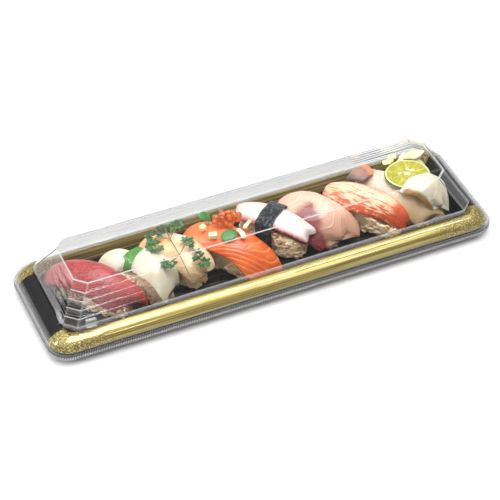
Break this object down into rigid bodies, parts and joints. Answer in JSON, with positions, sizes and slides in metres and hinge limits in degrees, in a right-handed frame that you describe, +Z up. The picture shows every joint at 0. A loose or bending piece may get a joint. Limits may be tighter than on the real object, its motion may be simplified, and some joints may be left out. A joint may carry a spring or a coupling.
{
  "type": "takeaway sushi tray",
  "caption": "Long black plastic tray with a gilt rim and a clear stepped lid, holding a row of nigiri sushi with garnishes, lime and ginger.",
  "frame": {"origin": "middle of the footprint, on the surface that the tray rests on", "axes": "+X along the tray to the right, +Y to its back, +Z up"},
  "size_m": [0.29, 0.0852, 0.0408],
  "materials": {
    "tray": "glossy black, with a gilt film on the rim's long sides and corners",
    "lid": "clear thin pressed plastic sheet, glossy",
    "tuna": "moist raw fish",
    "squid_back": "moist, smooth",
    "squid_front": "moist, smooth",
    "pale_fish": "moist raw fish",
    "salmon": "moist raw fish with pale bands",
    "octopus": "moist, with a dark red edge",
    "sea_bream": "moist raw fish with a red line",
    "crab_leg": "moist, cream with red stripes",
    "flatfish": "moist raw fish",
    "flatfish_flap": "moist raw fish",
    "skin_flap": "moist brown skin side",
    "rice_1": "moist cooked rice, satin",
    "rice_2": "moist cooked rice, satin",
    "rice_3": "moist cooked rice, satin",
    "rice_4": "moist cooked rice, satin",
    "rice_5": "moist cooked rice, satin",
    "rice_6": "moist cooked rice, satin",
    "rice_7": "moist cooked rice, satin",
    "rice_8": "moist cooked rice, satin",
    "shiso_leaf": "satin green leaf",
    "nori_band": "satin dark seaweed",
    "chervil_sprig": "satin green herb",
    "sprout_1": "satin green leaf",
    "sprout_2": "satin green leaf",
    "roe": "glossy, see-through orange",
    "radish_dice_1": "moist",
    "radish_dice_2": "moist",
    "radish_strip_1": "moist",
    "radish_strip_2": "moist",
    "lime_slice": "juicy flesh with a green rind",
    "ginger": "moist, pale yellow"
  },
  "bodies": {
    "root": {"tray": "tray", "lid": "lid", "tuna": "tuna", "squid_back": "squid_back", "squid_front": "squid_front", "pale_fish": "pale_fish", "salmon": "salmon", "octopus": "octopus", "sea_bream": "sea_bream", "crab_leg": "crab_leg", "flatfish": "flatfish", "flatfish_flap": "flatfish_flap", "skin_flap": "skin_flap", "rice_1": "rice_1", "rice_2": "rice_2", "rice_3": "rice_3", "rice_4": "rice_4", "rice_5": "rice_5", "rice_6": "rice_6", "rice_7": "rice_7", "rice_8": "rice_8", "shiso_leaf": "shiso_leaf", "nori_band": "nori_band", "chervil_sprig": "chervil_sprig", "sprout_1": "sprout_1", "sprout_2": "sprout_2", "roe": "roe", "radish_dice_1": "radish_dice_1", "radish_dice_2": "radish_dice_2", "radish_strip_1": "radish_strip_1", "radish_strip_2": "radish_strip_2", "lime_slice": "lime_slice", "ginger": "ginger"}
  },
  "joints": []
}
